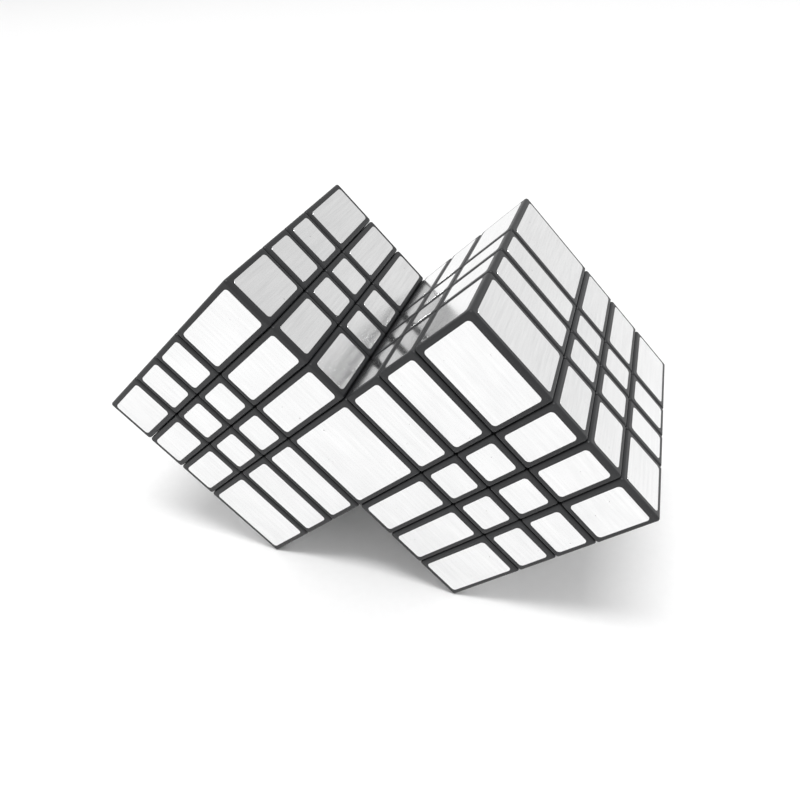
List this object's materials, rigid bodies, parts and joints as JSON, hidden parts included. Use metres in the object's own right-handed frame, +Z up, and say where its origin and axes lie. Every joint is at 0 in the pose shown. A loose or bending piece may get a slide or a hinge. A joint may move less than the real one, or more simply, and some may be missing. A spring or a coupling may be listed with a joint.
{
  "type": "mirror block cube",
  "caption": "Twisty puzzle of two conjoined mirror block cubes with layers of uneven thickness, black with silver stickers.",
  "frame": {"origin": "middle of the box on the surface that the puzzle stands on, midway between the two long edges that it stands on", "axes": "+X to the right across both cubes, +Y to the back, +Z up; each cube's layer axes are level (Y) or tilted in the XZ plane"},
  "size_m": [0.1358, 0.06, 0.0841],
  "materials": {
    "black_plastic": "satin",
    "silver_sticker": "brushed",
    "inner_plastic": "matte",
    "screw_steel": "satin",
    "spring_steel": "satin"
  },
  "bodies": {
    "root": {"shared_corner_blocks": "black_plastic", "shared_edge_blocks": "black_plastic", "shared_stickers": "silver_sticker", "left_fixed_layer_corners": "black_plastic", "left_fixed_layer_edges": "black_plastic", "left_fixed_layer_centres": "black_plastic", "left_fixed_layer_stickers": "silver_sticker", "left_fixed_caps": "inner_plastic", "left_fixed_inner_edges": "inner_plastic", "left_core": "inner_plastic", "left_screws": "screw_steel", "left_washers": "screw_steel", "left_springs": "spring_steel", "right_fixed_layer_corners": "black_plastic", "right_fixed_layer_edges": "black_plastic", "right_fixed_layer_centres": "black_plastic", "right_fixed_layer_stickers": "silver_sticker", "right_fixed_caps": "inner_plastic", "right_fixed_inner_edges": "inner_plastic", "right_core": "inner_plastic", "right_screws": "screw_steel", "right_washers": "screw_steel", "right_springs": "spring_steel"},
    "left_outer_layer": {"left_outer_layer_corners": "black_plastic", "left_outer_layer_edges": "black_plastic", "left_outer_layer_centres": "black_plastic", "left_outer_layer_stickers": "silver_sticker", "left_turning_caps": "inner_plastic", "left_turning_inner_edges": "inner_plastic"},
    "left_slice_a": {"left_slice_a_edges": "black_plastic", "left_slice_a_centres": "black_plastic", "left_slice_a_stickers": "silver_sticker"},
    "left_slice_b": {"left_slice_b_edges": "black_plastic", "left_slice_b_centres": "black_plastic", "left_slice_b_stickers": "silver_sticker"},
    "right_outer_layer": {"right_outer_layer_corners": "black_plastic", "right_outer_layer_edges": "black_plastic", "right_outer_layer_centres": "black_plastic", "right_outer_layer_stickers": "silver_sticker", "right_turning_caps": "inner_plastic", "right_turning_inner_edges": "inner_plastic"},
    "right_slice_a": {"right_slice_a_edges": "black_plastic", "right_slice_a_centres": "black_plastic", "right_slice_a_stickers": "silver_sticker"},
    "right_slice_b": {"right_slice_b_edges": "black_plastic", "right_slice_b_centres": "black_plastic", "right_slice_b_stickers": "silver_sticker"}
  },
  "joints": [
    {"name": "left_outer_layer_turn", "type": "hinge", "parent": "root", "child": "left_outer_layer", "pos_m": [-0.03214, -0.0021, 0.04378], "axis": [0.6855, 0, -0.7281], "continuous": true},
    {"name": "left_slice_a_turn", "type": "hinge", "parent": "root", "child": "left_slice_a", "pos_m": [-0.03214, -0.0021, 0.04378], "axis": [0.6855, 0, -0.7281], "continuous": true},
    {"name": "left_slice_b_turn", "type": "hinge", "parent": "root", "child": "left_slice_b", "pos_m": [-0.03214, -0.0021, 0.04378], "axis": [0.6855, 0, -0.7281], "continuous": true},
    {"name": "right_outer_layer_turn", "type": "hinge", "parent": "root", "child": "right_outer_layer", "pos_m": [0.03214, -0.0021, 0.04029], "axis": [0.7281, 0, 0.6855], "continuous": true},
    {"name": "right_slice_a_turn", "type": "hinge", "parent": "root", "child": "right_slice_a", "pos_m": [0.03214, -0.0021, 0.04029], "axis": [0.7281, 0, 0.6855], "continuous": true},
    {"name": "right_slice_b_turn", "type": "hinge", "parent": "root", "child": "right_slice_b", "pos_m": [0.03214, -0.0021, 0.04029], "axis": [0.7281, 0, 0.6855], "continuous": true}
  ]
}
